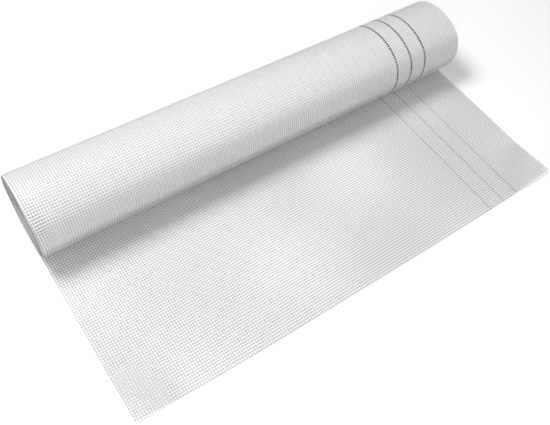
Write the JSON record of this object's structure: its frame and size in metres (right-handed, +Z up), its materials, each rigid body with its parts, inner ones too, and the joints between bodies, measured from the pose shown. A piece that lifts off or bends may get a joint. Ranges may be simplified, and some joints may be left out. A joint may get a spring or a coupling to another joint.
{
  "type": "roll of polyester scrim",
  "caption": "Loose hollow roll of white open-mesh polyester scrim with dark marker threads near one edge and its loose end laid out flat.",
  "frame": {"origin": "on the floor, straight below the axis of the roll at the middle of its length", "axes": "+X along the roll towards the edge with the marker threads, -Y towards the cut end of the loose cloth, +Z up"},
  "size_m": [1, 0.504, 0.1419],
  "materials": {
    "scrim": "coated white open mesh, satin"
  },
  "bodies": {
    "root": {"scrim_roll": "scrim"}
  },
  "joints": []
}
